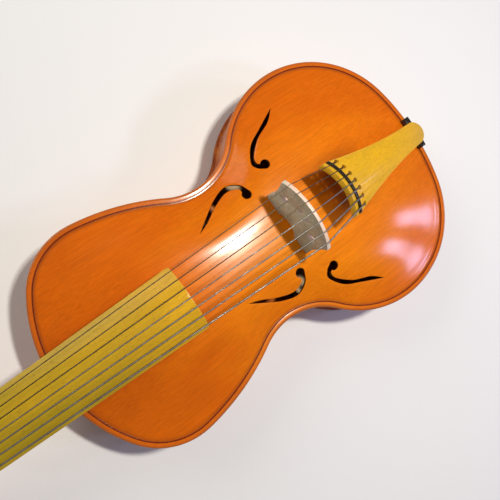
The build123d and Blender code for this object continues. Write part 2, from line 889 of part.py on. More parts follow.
collar_gap = 2.5
head_turns = [8, -14, 22, -6, 16, -20, 4]  # how far each peg happens to be turned, in degrees
for order, (number, side, winding_place) in enumerate(peg_table):
    half = box_half(peg_place(order))
    collar = half + collar_gap
    turn = math.radians(head_turns[order])
    thumb_flat = Plane(
        origin=peg_centre(order) + Vector(collar + 15, 0, 0),
        x_dir=head_plane.y_dir * math.cos(turn) + head_plane.z_dir * math.sin(turn),
        z_dir=head_plane.z_dir * math.cos(turn) - head_plane.y_dir * math.sin(turn),
    )
    with BuildPart() as peg:
        # made with its head on the treble side, then turned about the pegbox for the bass side
        with BuildSketch(Plane(peg_centre(order), x_dir=(1, 0, 0), z_dir=head_plane.y_dir)):
            with BuildLine():
                Polyline(
                    (-half - 1, 0),
                    (-half - 1, peg_radius(order, -side * (half + 1))),
                    (collar, peg_radius(order, side * collar)),
                    (collar, 6.4),
                    (collar + 2.4, 6.4),
                    (collar + 2.4, 4.2),
                    (collar + 8.4, 4.2),
                    (collar + 8.4, 0),
                    (-half - 1, 0),
                )
            make_face()
        revolve(axis=Axis(peg_centre(order), (1, 0, 0)))
        add(thumb_flat.location * thumb.part)
        with Locations(thumb_flat.origin + Vector(9.2, 0, 0)):
            Sphere(1.9)
    if side < 0:
        peg.part = peg.part.rotate(Axis(peg_centre(order), head_plane.z_dir), 180)
    finish(peg, f"peg_{number + 1}")

    wound = 2 * string_radii[number] * winding_turns
    with BuildPart() as winding:
        with BuildSketch(peg_side(order)):
            with Locations((side * winding_place, winding_radius(order) / 2)):
                Rectangle(wound, winding_radius(order))
        revolve(axis=peg_axis(order))
        add(peg_taper(order, 0, 0, 0.02), mode=Mode.SUBTRACT)
    finish(winding, f"string_{number + 1}_winding")
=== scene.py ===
import bpy
import bmesh
import json
import math
from mathutils import Matrix, Vector
from mathutils.geometry import delaunay_2d_cdt


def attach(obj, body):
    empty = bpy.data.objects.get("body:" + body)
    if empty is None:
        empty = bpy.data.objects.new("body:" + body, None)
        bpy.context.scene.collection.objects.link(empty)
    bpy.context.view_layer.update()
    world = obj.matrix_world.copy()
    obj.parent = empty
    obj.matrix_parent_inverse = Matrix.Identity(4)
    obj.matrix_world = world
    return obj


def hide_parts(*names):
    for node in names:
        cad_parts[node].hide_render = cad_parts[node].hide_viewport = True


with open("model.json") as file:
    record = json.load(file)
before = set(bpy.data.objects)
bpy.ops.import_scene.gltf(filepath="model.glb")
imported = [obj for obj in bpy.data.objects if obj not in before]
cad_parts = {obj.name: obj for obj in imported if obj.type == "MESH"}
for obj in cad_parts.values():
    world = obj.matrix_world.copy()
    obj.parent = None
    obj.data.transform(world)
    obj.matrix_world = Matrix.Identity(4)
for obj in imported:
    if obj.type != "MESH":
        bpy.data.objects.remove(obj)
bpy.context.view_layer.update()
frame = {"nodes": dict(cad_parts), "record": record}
cadNodes = frame["nodes"]
mm = 0.001
print("frame loaded,", len(cadNodes), "nodes")


camera = {
    "place": (0.0334, -0.0127, 0.5201),
    "aim": (-0.0003, -0.1384, 0.0600),
    "turn": -35.8,  # heading of the top of the frame, in degrees from +X
    "lens": 39.6,
}


lights = [
    # name, place, aim, size, power, colour
    ("key softbox", (0.03, -0.40, 1.11), (0, -0.13, 0.06), (0.10, 0.05), 9.5, (1.0, 0.95, 0.86)),
    ("left window", (-0.47, -1.15, 0.81), (-0.067, -0.301, 0.067), (0.13, 0.15), 1.9, (0.62, 0.62, 1.0)),
    ("right window", (-0.69, -0.93, 0.88), (-0.097, -0.266, 0.066), (0.15, 0.15), 2.3, (0.62, 0.62, 1.0)),
    ("fill", (1.5, 0.35, 1.0), (0, -0.1, 0.05), (1.2, 1.2), 12.0, (1.0, 0.96, 0.88)),
]


def makeCamera():
    place = Vector(camera["place"])
    ahead = (Vector(camera["aim"]) - place).normalized()
    turn = math.radians(camera["turn"])
    top = Vector((math.cos(turn), math.sin(turn), 0))
    top = (top - ahead * top.dot(ahead)).normalized()
    right = ahead.cross(top)
    data = bpy.data.cameras.new("camera")
    data.lens = camera["lens"]
    data.sensor_width = 36
    data.clip_start = 0.01
    made = bpy.data.objects.new("camera", data)
    made.matrix_world = Matrix((
        (right.x, top.x, -ahead.x, place.x),
        (right.y, top.y, -ahead.y, place.y),
        (right.z, top.z, -ahead.z, place.z),
        (0, 0, 0, 1),
    ))
    bpy.context.scene.collection.objects.link(made)
    bpy.context.scene.camera = made


def makeLight(name, place, aim, size, power, colour):
    data = bpy.data.lights.new(name, "AREA")
    data.shape = "RECTANGLE"
    data.size, data.size_y = size
    data.energy = power
    data.color = colour
    made = bpy.data.objects.new(name, data)
    made.location = place
    made.rotation_euler = (Vector(aim) - Vector(place)).to_track_quat("-Z", "Y").to_euler()
    bpy.context.scene.collection.objects.link(made)


makeCamera()
for row in lights:
    makeLight(*row)
sky = bpy.data.worlds.new("studio")
sky.use_nodes = True
sky.node_tree.nodes["Background"].inputs["Color"].default_value = (0.92, 0.94, 1.0, 1)
sky.node_tree.nodes["Background"].inputs["Strength"].default_value = 0.12
bpy.context.scene.world = sky
bpy.context.scene.view_settings.view_transform = "Standard"
print("camera and lights set")


def addNode(tree, kind, inputs=None, **settings):
    # a socket as a value is linked, and anything else is typed in
    node = tree.nodes.new(kind)
    for name, value in settings.items():
        setattr(node, name, value)
    for name, value in (inputs or {}).items():
        socket = node.inputs[name]
        if isinstance(value, bpy.types.NodeSocket):
            tree.links.new(value, socket)
        else:
            socket.default_value = value
    return node


def calc(tree, operation, first, second=0.0):
    return addNode(tree, "ShaderNodeMath", {0: first, 1: second}, operation=operation).outputs[0]


def times(tree, first, second):
    return calc(tree, "MULTIPLY", first, second)


def vectorCalc(tree, operation, first, second=(0, 0, 0)):
    return addNode(tree, "ShaderNodeVectorMath", {0: first, 1: second}, operation=operation).outputs


def axesOf(tree, vector):
    return addNode(tree, "ShaderNodeSeparateXYZ", {0: vector}).outputs


def spread(tree, value, low, high, toLow=0.0, toHigh=1.0):
    inputs = {"Value": value, "From Min": low, "From Max": high, "To Min": toLow, "To Max": toHigh}
    return addNode(tree, "ShaderNodeMapRange", inputs).outputs["Result"]


def mixed(tree, share, first, second, blend="MIX"):
    node = addNode(tree, "ShaderNodeMix", data_type="RGBA", blend_type=blend)
    for place, value in ((0, share), (6, first), (7, second)):
        if isinstance(value, bpy.types.NodeSocket):
            tree.links.new(value, node.inputs[place])
        elif place == 0:
            node.inputs[0].default_value = value
        else:
            node.inputs[place].default_value = (*value, 1)
    return node.outputs[2]


def noise(tree, place, scale, detail=3.0, rough=0.5):
    inputs = {"Vector": place, "Scale": scale, "Detail": detail, "Roughness": rough}
    return addNode(tree, "ShaderNodeTexNoise", inputs).outputs["Fac"]


def stretched(tree, place, scale, turn=(0, 0, 0)):
    inputs = {"Vector": place, "Scale": scale, "Rotation": turn}
    return addNode(tree, "ShaderNodeMapping", inputs).outputs["Vector"]


def newGroup(name, inputs, outputs):
    # inputs: (name, kind, value), outputs: (name, kind)
    tree = bpy.data.node_groups.new(name, "ShaderNodeTree")
    for label, kind, value in inputs:
        socket = tree.interface.new_socket(label, in_out="INPUT", socket_type=kind)
        if value is not None:
            socket.default_value = value
    for label, kind in outputs:
        tree.interface.new_socket(label, in_out="OUTPUT", socket_type=kind)
    return tree, addNode(tree, "NodeGroupInput").outputs, addNode(tree, "NodeGroupOutput").inputs


def makeWoodGrain():
    # grain runs along Y of the vector that comes in
    tree, given, out = newGroup(
        "wood grain",
        [
            ("Vector", "NodeSocketVector", None),
            ("Ring Spacing", "NodeSocketFloat", 0.0013),
            ("Sway", "NodeSocketFloat", 1.2),
            ("Fibre Scale", "NodeSocketFloat", 900.0),
        ],
        [("Ring", "NodeSocketFloat"), ("Fibre", "NodeSocketFloat"), ("Pore", "NodeSocketFloat"),
         ("Blotch", "NodeSocketFloat")],
    )
    place = given["Vector"]
    slow = noise(tree, stretched(tree, place, (14, 2.5, 14)), 1.0, 2.0)
    axes = axesOf(tree, place)
    across = calc(tree, "DIVIDE", axes["X"], given["Ring Spacing"])
    across = calc(tree, "ADD", across, times(tree, axes["Z"], 60.0))
    sway = times(tree, slow, times(tree, given["Sway"], 8.0))
    swayed = calc(tree, "ADD", across, sway)
    phase = calc(tree, "FRACT", swayed)
    late = calc(tree, "POWER", phase, 3.0)  # the year darkens slowly and ends sharply
    softened = times(tree, late, spread(tree, phase, 0.9, 1.0, 1.0, 0.0))
    tree.links.new(softened, out["Ring"])
    fibre = addNode(tree, "ShaderNodeVectorMath", {0: place, 1: (1.0, 0.025, 1.0)}, operation="MULTIPLY")
    fibreNoise = noise(tree, fibre.outputs[0], given["Fibre Scale"], 3.0, 0.6)
    tree.links.new(fibreNoise, out["Fibre"])
    dash = noise(tree, stretched(tree, place, (2600, 130, 2600)), 1.0, 1.0)
    tree.links.new(spread(tree, dash, 0.64, 0.74), out["Pore"])
    tree.links.new(noise(tree, stretched(tree, place, (30, 12, 30)), 1.0, 4.0, 0.6), out["Blotch"])
    return tree


def makeFlame():
    # the curl of figured maple: soft bands across the grain, which come and go
    tree, given, out = newGroup(
        "maple flame",
        [("Vector", "NodeSocketVector", None), ("Band Scale", "NodeSocketFloat", 130.0)],
        [("Flame", "NodeSocketFloat")],
    )
    place = given["Vector"]
    warp = noise(tree, place, 22.0, 2.0)
    axes = axesOf(tree, place)
    run = calc(tree, "ADD", axes["Y"], times(tree, axes["X"], 0.18))
    run = times(tree, run, given["Band Scale"])
    run = calc(tree, "ADD", run, times(tree, warp, 9.0))
    wave = calc(tree, "SINE", times(tree, run, 4.0))
    strength = spread(tree, noise(tree, place, 35.0, 1.0), 0.3, 0.65)
    shown = times(tree, spread(tree, wave, -1, 1), strength)
    tree.links.new(shown, out["Flame"])
    return tree


def makeEdgeWear():
    # where a piece turns sharply, broken up as handling leaves it
    tree, given, out = newGroup(
        "edge wear",
        [("Vector", "NodeSocketVector", None), ("Amount", "NodeSocketFloat", 0.5)],
        [("Worn", "NodeSocketFloat")],
    )
    rounded = addNode(tree, "ShaderNodeBevel", {"Radius": 0.0012}, samples=4).outputs["Normal"]
    real = addNode(tree, "ShaderNodeNewGeometry").outputs["Normal"]
    turn = addNode(tree, "ShaderNodeVectorMath", {0: rounded, 1: real}, operation="DOT_PRODUCT")
    edge = spread(tree, turn.outputs["Value"], 0.985, 0.86)
    broken = spread(tree, noise(tree, given["Vector"], 260.0, 4.0, 0.65), 0.35, 0.6)
    worn = times(tree, times(tree, edge, broken), given["Amount"])
    tree.links.new(worn, out["Worn"])
    return tree


def makeHandling():
    # dulled patches, fine scratches and a fine ripple
    tree, given, out = newGroup(
        "handling",
        [("Vector", "NodeSocketVector", None)],
        [("Dull", "NodeSocketFloat"), ("Scratch", "NodeSocketFloat"), ("Ripple", "NodeSocketFloat")],
    )
    place = given["Vector"]
    tree.links.new(spread(tree, noise(tree, place, 24.0, 5.0, 0.6), 0.4, 0.7), out["Dull"])
    line = noise(tree, stretched(tree, place, (90, 2200, 900), (0.2, 0.1, 0.5)), 1.0, 0.0)
    tree.links.new(spread(tree, line, 0.76, 0.8), out["Scratch"])
    tree.links.new(noise(tree, place, 140.0, 2.0, 0.5), out["Ripple"])
    return tree


woodGrain = makeWoodGrain()
mapleFlame = makeFlame()
edgeWear = makeEdgeWear()
handling = makeHandling()


def newMaterial(name):
    material = bpy.data.materials.new(name)
    material.use_nodes = True
    tree = material.node_tree
    tree.nodes.clear()
    shader = addNode(tree, "ShaderNodeBsdfPrincipled")
    output = addNode(tree, "ShaderNodeOutputMaterial")
    tree.links.new(shader.outputs[0], output.inputs["Surface"])
    place = addNode(tree, "ShaderNodeTexCoord").outputs["Object"]
    return material, tree, shader, place


def useGroup(tree, group, **inputs):
    node = tree.nodes.new("ShaderNodeGroup")
    node.node_tree = group
    for name, value in inputs.items():
        socket = node.inputs[name.replace("_", " ")]
        if isinstance(value, bpy.types.NodeSocket):
            tree.links.new(value, socket)
        else:
            socket.default_value = value
    return node.outputs


def bumped(tree, shader, height, distance, strength=1.0):
    node = addNode(tree, "ShaderNodeBump", {"Height": height, "Distance": distance, "Strength": strength})
    tree.links.new(node.outputs[0], shader.inputs["Normal"])


# colours of the soundboard's varnish, from thin to thick and dirty; the darkest one is grime, and is also
# used as painted shadow
varnish = {
    "straw": (0.88, 0.25, 0.003),
    "orange": (0.66, 0.128, 0.002),
    "red": (0.30, 0.034, 0.002),
    "late wood": (0.50, 0.085, 0.003),
    "bare rim": (0.42, 0.105, 0.016),
    "grime and painted shadow": (0.10, 0.020, 0.006),
}


def spruceTop():
    material, tree, shader, place = newMaterial("varnished spruce")
    grain = useGroup(tree, woodGrain, Vector=place, Ring_Spacing=0.0014, Sway=0.6)
    touched = useGroup(tree, handling, Vector=place)
    # the varnish is thinner and yellower in the middle of the belly
    middle = vectorCalc(tree, "ADD", place, (0.02, 0.19, -0.07))[0]
    squeezed = vectorCalc(tree, "MULTIPLY", middle, (8.5, 5.5, 0.0))[0]
    away = vectorCalc(tree, "LENGTH", squeezed)["Value"]
    uneven = times(tree, calc(tree, "SUBTRACT", grain["Blotch"], 0.5), 1.1)
    thick = calc(tree, "ADD", away, uneven)
    colour = mixed(tree, spread(tree, thick, 0.1, 0.95), varnish["straw"], varnish["orange"])
    colour = mixed(tree, spread(tree, thick, 1.15, 2.1, 0.0, 0.7), colour, varnish["red"])
    # painted shadow: darkened in front of the tailpiece; painted shade: redder beside and under the
    # fingerboard's end
    covered = axesOf(tree, place)
    sideways = spread(tree, calc(tree, "ABSOLUTE", covered["X"]), 0.034, 0.014)
    fromBridge = spread(tree, covered["Y"], -0.205, -0.232)
    fromTail = spread(tree, covered["Y"], -0.28, -0.25)
    tailward = times(tree, fromBridge, fromTail)
    neckward = spread(tree, covered["Y"], -0.075, -0.02)
    paintedBoardShade = times(tree, times(tree, sideways, neckward), 0.75)
    paintedTailShadow = times(tree, times(tree, sideways, tailward), 0.85)
    colour = mixed(tree, paintedBoardShade, colour, varnish["red"])
    colour = mixed(tree, paintedTailShadow, colour, varnish["grime and painted shadow"])
    colour = mixed(tree, times(tree, grain["Ring"], 0.55), colour, varnish["late wood"])
    fibre = spread(tree, grain["Fibre"], 0.3, 0.7, 0.86, 1.1)
    fibreColour = addNode(tree, "ShaderNodeCombineColor", {0: fibre, 1: fibre, 2: fibre}).outputs[0]
    colour = mixed(tree, 1.0, colour, fibreColour, "MULTIPLY")
    colour = mixed(tree, times(tree, grain["Pore"], 0.35), colour, varnish["red"])
    rim = addNode(tree, "ShaderNodeAttribute", attribute_name="inset").outputs["Fac"]
    patchy = spread(tree, grain["Blotch"], 0.3, 0.6, 0.45, 1.0)
    worn = times(tree, spread(tree, rim, 0.0034, 0.0012), patchy)
    colour = mixed(tree, worn, colour, varnish["bare rim"])
    # grime gathers in the shallow channel and beside the purfling
    channel = times(tree, spread(tree, rim, 0.0036, 0.0052), spread(tree, rim, 0.0085, 0.0056))
    colour = mixed(tree, times(tree, channel, 0.5), colour, varnish["grime and painted shadow"])
    hole = addNode(tree, "ShaderNodeAttribute", attribute_name="wall").outputs["Fac"]
    colour = mixed(tree, times(tree, hole, 0.8), colour, varnish["grime and painted shadow"])
    tree.links.new(colour, shader.inputs["Base Color"])
    scratched = times(tree, touched["Scratch"], 0.15)
    rough = calc(tree, "ADD", spread(tree, touched["Dull"], 0, 1, 0.26, 0.36), scratched)
    tree.links.new(rough, shader.inputs["Roughness"])
    shader.inputs["Specular IOR Level"].default_value = 0.10
    shader.inputs["Specular Tint"].default_value = (1.0, 0.72, 0.32, 1)
    shader.inputs["Coat Weight"].default_value = 0.5
    shader.inputs["Coat Roughness"].default_value = 0.15
    ripple = times(tree, touched["Ripple"], 1.6)
    relief = calc(tree, "ADD", times(tree, grain["Ring"], -0.3), ripple)
    relief = calc(tree, "ADD", relief, times(tree, grain["Fibre"], 0.25))
    bumped(tree, shader, relief, 0.00012)
    return material


maple = {
    "light": (0.56, 0.12, 0.006),
    "deep": (0.40, 0.066, 0.004),
    "flame": (0.78, 0.25, 0.02),
    "pore": (0.2, 0.03, 0.004),
    "ring": (0.3, 0.05, 0.004),
    "worn": (0.62, 0.28, 0.08),
}


def varnishedMaple():
    material, tree, shader, place = newMaterial("varnished maple")
    grain = useGroup(tree, woodGrain, Vector=place, Ring_Spacing=0.004, Sway=2.0)
    flame = useGroup(tree, mapleFlame, Vector=place)["Flame"]
    touched = useGroup(tree, handling, Vector=place)
    worn = useGroup(tree, edgeWear, Vector=place, Amount=0.7)["Worn"]
    colour = mixed(tree, spread(tree, grain["Blotch"], 0.3, 0.7), maple["light"], maple["deep"])
    colour = mixed(tree, times(tree, flame, 0.75), colour, maple["flame"])
    colour = mixed(tree, times(tree, grain["Pore"], 0.5), colour, maple["pore"])
    colour = mixed(tree, times(tree, grain["Ring"], 0.15), colour, maple["ring"])
    colour = mixed(tree, worn, colour, maple["worn"])
    tree.links.new(colour, shader.inputs["Base Color"])
    tree.links.new(spread(tree, touched["Dull"], 0, 1, 0.27, 0.4), shader.inputs["Roughness"])
    shader.inputs["Coat Weight"].default_value = 0.5
    shader.inputs["Coat Roughness"].default_value = 0.09
    relief = calc(tree, "ADD", times(tree, flame, 0.6), times(tree, touched["Ripple"], 0.8))
    bumped(tree, shader, relief, 0.0001)
    return material


def plainWood(name, light, dark, pore, gloss, coat, spacing=0.003, wornTo=None, turn=(0, 0, 0)):
    material, tree, shader, place = newMaterial(name)
    along = stretched(tree, place, (1, 1, 1), turn)
    grain = useGroup(tree, woodGrain, Vector=along, Ring_Spacing=spacing, Sway=1.6)
    touched = useGroup(tree, handling, Vector=place)
    colour = mixed(tree, spread(tree, grain["Blotch"], 0.32, 0.68), light, dark)
    colour = mixed(tree, spread(tree, grain["Fibre"], 0.42, 0.75, 0.0, 0.5), colour, dark)
    colour = mixed(tree, times(tree, grain["Ring"], 0.3), colour, dark)
    colour = mixed(tree, times(tree, grain["Pore"], 0.75), colour, pore)
    if wornTo:
        worn = useGroup(tree, edgeWear, Vector=place, Amount=0.8)["Worn"]
        colour = mixed(tree, worn, colour, wornTo)
    tree.links.new(colour, shader.inputs["Base Color"])
    scratched = times(tree, touched["Scratch"], 0.12)
    rough = calc(tree, "ADD", spread(tree, touched["Dull"], 0, 1, gloss, gloss + 0.14), scratched)
    tree.links.new(rough, shader.inputs["Roughness"])
    shader.inputs["Coat Weight"].default_value = coat
    shader.inputs["Coat Roughness"].default_value = 0.15
    relief = calc(tree, "SUBTRACT", times(tree, grain["Fibre"], 0.6), grain["Pore"])
    bumped(tree, shader, relief, 0.00006)
    return material


boxwoodColours = {
    "gold": (0.82, 0.44, 0.012),
    "cloud": (0.58, 0.34, 0.014),
    "smoke": (0.36, 0.28, 0.012),
    "fibre": (0.46, 0.24, 0.010),
    "ring": (0.38, 0.20, 0.010),
    "pore": (0.20, 0.09, 0.012),
    "worn": (0.88, 0.58, 0.16),
}


def boxwood():
    # golden, waxed, with a smoky olive cloud through it
    material, tree, shader, place = newMaterial("boxwood")
    grain = useGroup(tree, woodGrain, Vector=place, Ring_Spacing=0.0022, Sway=2.2, Fibre_Scale=700.0)
    touched = useGroup(tree, handling, Vector=place)
    worn = useGroup(tree, edgeWear, Vector=place, Amount=0.6)["Worn"]
    cloud = noise(tree, stretched(tree, place, (26, 9, 26)), 1.0, 4.0, 0.55)
    colour = mixed(tree, spread(tree, cloud, 0.36, 0.66), boxwoodColours["gold"], boxwoodColours["cloud"])
    # the board turns a smoky olive towards the neck
    away = spread(tree, axesOf(tree, place)["Y"], -0.05, 0.05, 0.0, 0.8)
    smoked = times(tree, away, spread(tree, cloud, 0.3, 0.6, 0.6, 1.0))
    colour = mixed(tree, smoked, colour, boxwoodColours["smoke"])
    streak = spread(tree, grain["Fibre"], 0.4, 0.75, 0.0, 0.45)
    colour = mixed(tree, streak, colour, boxwoodColours["fibre"])
    colour = mixed(tree, times(tree, grain["Ring"], 0.25), colour, boxwoodColours["ring"])
    colour = mixed(tree, times(tree, grain["Pore"], 0.6), colour, boxwoodColours["pore"])
    colour = mixed(tree, worn, colour, boxwoodColours["worn"])
    tree.links.new(colour, shader.inputs["Base Color"])
    scratched = times(tree, touched["Scratch"], 0.12)
    rough = calc(tree, "ADD", spread(tree, touched["Dull"], 0, 1, 0.34, 0.46), scratched)
    tree.links.new(rough, shader.inputs["Roughness"])
    shader.inputs["Specular IOR Level"].default_value = 0.25
    shader.inputs["Coat Weight"].default_value = 0.15
    shader.inputs["Coat Roughness"].default_value = 0.2
    bumped(tree, shader, calc(tree, "SUBTRACT", grain["Fibre"], grain["Pore"]), 0.00006)
    return material


bridgeColours = {
    "face": (0.60, 0.74, 0.60),
    "stain": (0.42, 0.53, 0.42),
    "ray": (0.20, 0.20, 0.13),
    "top edge and top light": (0.80, 0.60, 0.46),
    "worn": (0.88, 0.66, 0.52),
}


def bridgeMaple():
    # quarter-sawn maple: short dark rays across a greyed face
    material, tree, shader, place = newMaterial("bridge maple")
    touched = useGroup(tree, handling, Vector=place)
    worn = useGroup(tree, edgeWear, Vector=place, Amount=1.0)["Worn"]
    ray = noise(tree, stretched(tree, place, (230, 2000, 1500)), 1.0, 2.0)
    stain = noise(tree, stretched(tree, place, (60, 60, 40)), 1.0, 4.0, 0.6)
    colour = mixed(tree, spread(tree, stain, 0.35, 0.68), bridgeColours["face"], bridgeColours["stain"])
    colour = mixed(tree, spread(tree, ray, 0.55, 0.68, 0.0, 0.6), colour, bridgeColours["ray"])
    # the scraped top edge is paler and pinker, and every face turned upward gets painted top light in the
    # same colour
    normal = addNode(tree, "ShaderNodeNewGeometry").outputs["Normal"]
    upward = axesOf(tree, normal)["Z"]
    colour = mixed(tree, spread(tree, upward, 0.5, 0.75), colour, bridgeColours["top edge and top light"])
    colour = mixed(tree, worn, colour, bridgeColours["worn"])
    tree.links.new(colour, shader.inputs["Base Color"])
    tree.links.new(spread(tree, touched["Dull"], 0, 1, 0.42, 0.6), shader.inputs["Roughness"])
    bumped(tree, shader, times(tree, ray, -1.0), 0.00008)
    return material


def ebony():
    material, tree, shader, place = newMaterial("ebony")
    grain = useGroup(tree, woodGrain, Vector=place, Ring_Spacing=0.005)
    touched = useGroup(tree, handling, Vector=place)
    worn = useGroup(tree, edgeWear, Vector=place, Amount=0.8)["Worn"]
    streak = spread(tree, grain["Fibre"], 0.35, 0.75)
    colour = mixed(tree, streak, (0.008, 0.006, 0.005), (0.030, 0.020, 0.014))
    colour = mixed(tree, worn, colour, (0.10, 0.075, 0.055))
    tree.links.new(colour, shader.inputs["Base Color"])
    tree.links.new(spread(tree, touched["Dull"], 0, 1, 0.2, 0.36), shader.inputs["Roughness"])
    bumped(tree, shader, calc(tree, "SUBTRACT", grain["Fibre"], grain["Pore"]), 0.00005)
    return material


def stringMetal(name, colour, tint, wireScale, depth):
    # the wire wound round a string reads as fine rings across it
    material, tree, shader, place = newMaterial(name)
    axes = axesOf(tree, place)
    wound = calc(tree, "SINE", times(tree, axes["Y"], wireScale))
    tarnish = noise(tree, stretched(tree, place, (400, 30, 400)), 1.0, 3.0, 0.6)
    tree.links.new(mixed(tree, spread(tree, tarnish, 0.35, 0.7), colour, tint), shader.inputs["Base Color"])
    tree.links.new(spread(tree, tarnish, 0.3, 0.7, 0.3, 0.48), shader.inputs["Roughness"])
    shader.inputs["Metallic"].default_value = 1.0
    bumped(tree, shader, wound, depth)
    return material


def gutCord():
    # twisted gut, rubbed paler where it turns
    material, tree, shader, place = newMaterial("gut")
    touched = useGroup(tree, handling, Vector=place)
    axes = axesOf(tree, place)
    run = calc(tree, "ADD", calc(tree, "ADD", axes["X"], axes["Y"]), axes["Z"])
    twist = calc(tree, "SINE", times(tree, run, 4200.0))
    colour = mixed(tree, spread(tree, twist, -1, 1), (0.06, 0.035, 0.015), (0.14, 0.09, 0.05))
    tree.links.new(colour, shader.inputs["Base Color"])
    tree.links.new(spread(tree, touched["Dull"], 0, 1, 0.32, 0.5), shader.inputs["Roughness"])
    shader.inputs["Coat Weight"].default_value = 0.3
    bumped(tree, shader, twist, 0.00008)
    return material


def purflingInlay():
    # a dark line under the varnish, with paler patches
    material, tree, shader, place = newMaterial("purfling")
    touched = useGroup(tree, handling, Vector=place)
    worn = noise(tree, place, 500.0, 3.0, 0.6)
    colour = mixed(tree, spread(tree, worn, 0.35, 0.7), (0.10, 0.008, 0.001), (0.20, 0.02, 0.002))
    tree.links.new(colour, shader.inputs["Base Color"])
    tree.links.new(spread(tree, touched["Dull"], 0, 1, 0.26, 0.4), shader.inputs["Roughness"])
    shader.inputs["Specular IOR Level"].default_value = 0.12
    shader.inputs["Coat Weight"].default_value = 0.3
    shader.inputs["Coat Roughness"].default_value = 0.12
    bumped(tree, shader, touched["Ripple"], 0.0001)
    return material


def floorPaper():
    material, tree, shader, place = newMaterial("floor paper")
    tooth = noise(tree, place, 900.0, 3.0, 0.6)
    cloud = noise(tree, place, 2.0, 2.0)
    tree.links.new(mixed(tree, cloud, (0.80, 0.80, 0.79), (0.86, 0.86, 0.85)), shader.inputs["Base Color"])
    tree.links.new(spread(tree, tooth, 0, 1, 0.75, 0.9), shader.inputs["Roughness"])
    bumped(tree, shader, tooth, 0.0001)
    return material


finishes = {
    "spruce_top": spruceTop(),
    "maple_body": varnishedMaple(),
    "purfling": purflingInlay(),
    "boxwood": boxwood(),
    "bridge_maple": bridgeMaple(),
    "ebony": ebony(),
    "gut": gutCord(),
    "inside_wood": plainWood(
        "bare spruce", (0.62, 0.43, 0.22), (0.44, 0.27, 0.12), (0.25, 0.14, 0.06), 0.55, 0.0, 0.0016
    ),
    "peg_wood": plainWood(
        "peg wood", (0.70, 0.46, 0.10), (0.46, 0.27, 0.05), (0.20, 0.10, 0.02), 0.26, 0.3, 0.003,
        (0.85, 0.62, 0.24), (0, 0, math.pi / 2),
    ),
    "plain_string": stringMetal("plain wire", (0.16, 0.13, 0.08), (0.08, 0.06, 0.04), 9000.0, 0.00001),
    "wound_string": stringMetal("wound wire", (0.36, 0.34, 0.30), (0.19, 0.17, 0.14), 12000.0, 0.00002),
}
print("finishes made:", len(finishes))


slots = {row["node"]: row["material_slot"] for row in frame["record"]["subparts"]}
bodies = {name: body for body, names in frame["record"]["behaviour"]["bodies"].items() for name in names}


def meshObject(name, vertices, edges, faces):
    mesh = bpy.data.meshes.new(name)
    mesh.from_pydata(vertices, edges, faces)
    made = bpy.data.objects.new(name, mesh)
    bpy.context.scene.collection.objects.link(made)
    return made


def settle(made):
    # the modifiers' result becomes the object's own plain mesh
    graph = bpy.context.evaluated_depsgraph_get()
    mesh = bpy.data.meshes.new_from_object(made.evaluated_get(graph), depsgraph=graph)
    made.modifiers.clear()
    old = made.data
    made.data = mesh
    bpy.data.meshes.remove(old)
    mesh.name = made.name
    return made


def dress(made, node, smooth=35.0):
    made.data.materials.clear()
    made.data.materials.append(finishes[slots[node]])
    for face in made.data.polygons:
        face.use_smooth = True
        face.material_index = 0
    made.data.set_sharp_from_angle(angle=math.radians(smooth))
    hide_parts(node)
    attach(made, bodies[node])


def softened(node, width, steps=2, sharp=32.0):
    # a copy of a CAD piece, welded, with its sharp edges rounded over
    work = bmesh.new()
    work.from_mesh(cadNodes[node].data)
    bmesh.ops.remove_doubles(work, verts=work.verts, dist=0.00001)
    bmesh.ops.dissolve_degenerate(work, dist=0.00001, edges=work.edges)
    flat = [e for e in work.edges if e.is_manifold and e.calc_face_angle(1.0) < math.radians(0.3)]
    bmesh.ops.dissolve_limit(work, angle_limit=math.radians(0.3), verts=work.verts, edges=flat)
    mesh = bpy.data.meshes.new(node + "_soft")
    work.to_mesh(mesh)
    work.free()
    made = bpy.data.objects.new(node + "_soft", mesh)
    bpy.context.scene.collection.objects.link(made)
    bevel = made.modifiers.new("round over", "BEVEL")
    bevel.width = width
    bevel.segments = steps
    bevel.limit_method = "ANGLE"
    bevel.angle_limit = math.radians(sharp)
    bevel.use_clamp_overlap = True
    settle(made)
    dress(made, node)
    return made


def newGeometryTree(name, inputs):
    # inputs: (name, kind, value)
    tree = bpy.data.node_groups.new(name, "GeometryNodeTree")
    tree.interface.new_socket("Geometry", in_out="INPUT", socket_type="NodeSocketGeometry")
    for label, kind, value in inputs:
        socket = tree.interface.new_socket(label, in_out="INPUT", socket_type=kind)
        if value is not None:
            socket.default_value = value
    tree.interface.new_socket("Geometry", in_out="OUTPUT", socket_type="NodeSocketGeometry")
    return tree, addNode(tree, "NodeGroupInput").outputs, addNode(tree, "NodeGroupOutput").inputs


def growWith(made, tree, values):
    # gives the object the tree's shape, with the named inputs set
    modifier = made.modifiers.new(tree.name, "NODES")
    modifier.node_group = tree
    for socket in tree.interface.items_tree:
        if socket.in_out == "INPUT" and socket.name in values:
            modifier[socket.identifier] = values[socket.name]
    return settle(made)


body = {
    "tailEdge": -0.34134,  # y of the body's tail end
    "edgeHeight": 0.060,
    "boardThickness": 0.0036,
    "archHeight": 0.014,
    "fullness": 1.9,  # over 1, the arch stays high further out to the sides
    "border": 0.004,
    # right half, tail to neck: radius in mm and turn in degrees
    "bouts": [(210.0, 13.7), (93.0, 124.7), (-58.4, 77.1), (206.0, 22.9), (60.3, 62.4)],
    "step": 0.0016,
}


